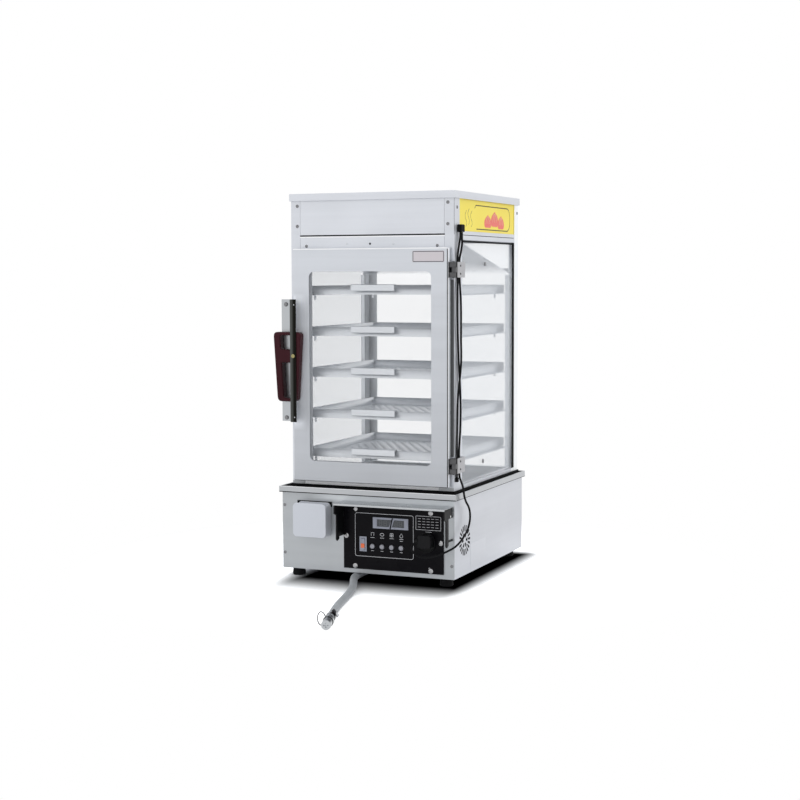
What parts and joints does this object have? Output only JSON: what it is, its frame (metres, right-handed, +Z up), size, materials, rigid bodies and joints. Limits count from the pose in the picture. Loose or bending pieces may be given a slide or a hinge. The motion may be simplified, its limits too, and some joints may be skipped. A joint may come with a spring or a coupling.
{
  "type": "heated display case",
  "caption": "Countertop steam display case: square water base with control panel, glazed cabinet of perforated trays, hinged glass door with a double ring handle, lit head and drain hose.",
  "frame": {"origin": "centre of the case's footprint on the worktop, the leads and the drain hose left out", "axes": "+Z up; the door and the control panel face -Y; +X is the hinge side, with the lit sign"},
  "size_m": [0.4144, 0.87, 0.794],
  "materials": {
    "brushed_steel": "brushed stainless sheet",
    "polished_steel": "smooth stainless",
    "black_plastic": "satin black",
    "black_rubber": "matte black",
    "clear_glass": "clear tempered glass",
    "handle_bakelite": "dark maroon moulded, glossy",
    "cup_plastic": "white moulded",
    "sign_acrylic": "yellow acrylic",
    "hose_rubber": "grey, satin",
    "board_green": "green circuit board",
    "display_grey": "grey bezel",
    "switch_red": "translucent red",
    "element_steel": "heat-dulled steel",
    "lamp_white": "frosted white tube"
  },
  "bodies": {
    "case": {"base_shell": "brushed_steel", "base_front": "brushed_steel", "base_rim": "polished_steel", "foot_front_left": "black_rubber", "foot_front_right": "black_rubber", "foot_back_left": "black_rubber", "foot_back_right": "black_rubber", "water_pan": "brushed_steel", "heating_element": "element_steel", "water_cup": "cup_plastic", "control_panel": "black_plastic", "display_module": "display_grey", "rocker_bezel": "black_plastic", "socket_outlet": "black_plastic", "plug": "black_plastic", "control_board": "board_green", "fan_frame": "black_plastic", "panel_hood": "polished_steel", "hood_arm_left": "black_plastic", "hood_arm_right": "black_plastic", "cabinet_frame": "brushed_steel", "glass_right": "clear_glass", "glass_left": "clear_glass", "glass_back": "clear_glass", "rack_left": "brushed_steel", "rack_right": "brushed_steel", "head_front": "brushed_steel", "head_shell": "brushed_steel", "sign_panel": "sign_acrylic", "drip_guard": "brushed_steel", "lamp_batten": "cup_plastic", "lamp_tube": "lamp_white", "roof_cap": "polished_steel", "hinge_upper_cabinet_leaf": "polished_steel", "hinge_lower_cabinet_leaf": "polished_steel", "lead_gland": "black_plastic", "lead_grommet": "black_plastic", "lamp_lead": "black_rubber", "second_lead": "black_rubber", "drain_hose": "hose_rubber", "hose_fitting": "polished_steel", "hose_clamp": "polished_steel"},
    "door": {"door_frame": "brushed_steel", "door_glass": "clear_glass", "door_gasket": "black_rubber", "door_handle": "handle_bakelite", "handle_rail": "polished_steel", "hinge_upper_door_leaf": "polished_steel", "hinge_lower_door_leaf": "polished_steel"},
    "tray_1": {"tray_1": "polished_steel"},
    "tray_2": {"tray_2": "polished_steel"},
    "tray_3": {"tray_3": "polished_steel"},
    "tray_4": {"tray_4": "polished_steel"},
    "tray_5": {"tray_5": "polished_steel"},
    "button_1": {"button_1": "polished_steel"},
    "button_2": {"button_2": "polished_steel"},
    "button_3": {"button_3": "polished_steel"},
    "button_4": {"button_4": "polished_steel"},
    "rocker": {"rocker": "switch_red"},
    "fan_rotor": {"fan_rotor": "black_plastic"}
  },
  "joints": [
    {"name": "door_hinge", "type": "hinge", "parent": "case", "child": "door", "pos_m": [0.18665, -0.17053, 0.44075], "axis": [0, 0, 1], "range_deg": [0, 110]},
    {"name": "tray_1_slide", "type": "slide", "parent": "case", "child": "tray_1", "axis": [0, -1, 0], "range_m": [0, 0.012]},
    {"name": "tray_2_slide", "type": "slide", "parent": "case", "child": "tray_2", "axis": [0, -1, 0], "range_m": [0, 0.012]},
    {"name": "tray_3_slide", "type": "slide", "parent": "case", "child": "tray_3", "axis": [0, -1, 0], "range_m": [0, 0.012]},
    {"name": "tray_4_slide", "type": "slide", "parent": "case", "child": "tray_4", "axis": [0, -1, 0], "range_m": [0, 0.012]},
    {"name": "tray_5_slide", "type": "slide", "parent": "case", "child": "tray_5", "axis": [0, -1, 0], "range_m": [0, 0.012]},
    {"name": "button_1_press", "type": "slide", "parent": "case", "child": "button_1", "axis": [0, 1, 0], "range_m": [0, 0.002], "stiffness_N_per_m": 300},
    {"name": "button_2_press", "type": "slide", "parent": "case", "child": "button_2", "axis": [0, 1, 0], "range_m": [0, 0.002], "stiffness_N_per_m": 300},
    {"name": "button_3_press", "type": "slide", "parent": "case", "child": "button_3", "axis": [0, 1, 0], "range_m": [0, 0.002], "stiffness_N_per_m": 300},
    {"name": "button_4_press", "type": "slide", "parent": "case", "child": "button_4", "axis": [0, 1, 0], "range_m": [0, 0.002], "stiffness_N_per_m": 300},
    {"name": "rocker_tip", "type": "hinge", "parent": "case", "child": "rocker", "pos_m": [-0.00245, -0.19178, 0.07835], "axis": [1, 0, 0], "range_deg": [-6, 6]},
    {"name": "fan_spin", "type": "hinge", "parent": "case", "child": "fan_rotor", "pos_m": [0.18815, -0.13153, 0.0887], "axis": [1, 0, 0], "continuous": true}
  ]
}
